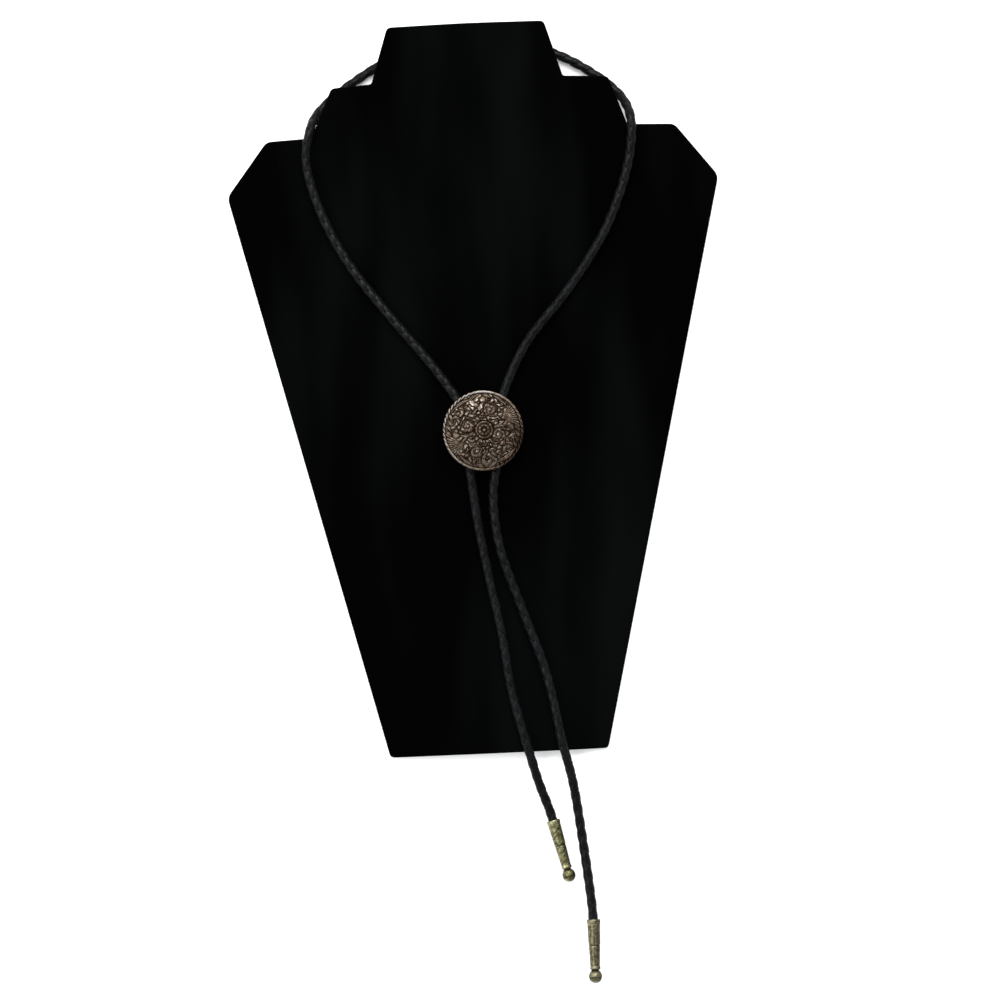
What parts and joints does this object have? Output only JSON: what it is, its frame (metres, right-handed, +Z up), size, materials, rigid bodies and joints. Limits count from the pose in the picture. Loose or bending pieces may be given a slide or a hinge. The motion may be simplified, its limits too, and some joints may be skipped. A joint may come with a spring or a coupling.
{
  "type": "bolo tie on a velvet neck display board",
  "caption": "Braided leather cord necktie with a round cast floral slide and ringed metal cord tips, laid out on a velvet neck display board.",
  "frame": {"origin": "on the surface that it all lies on, under the middle of the board and the tips", "axes": "+X to the right, +Y towards the board's neck, +Z up, out of the board's velvet front"},
  "size_m": [0.235, 0.4625, 0.0238],
  "materials": {
    "velvet": "matt black pile",
    "leather": "satin, dyed black",
    "antiqued_copper": "antiqued brown, worn bright on the relief",
    "steel": "satin",
    "antiqued_brass": "antiqued, greenish in the grooves"
  },
  "bodies": {
    "root": {"display_board": "velvet", "braided_cord": "leather", "concho": "antiqued_copper", "slide_clasp": "steel", "tip_left": "antiqued_brass", "tip_right": "antiqued_brass"}
  },
  "joints": []
}
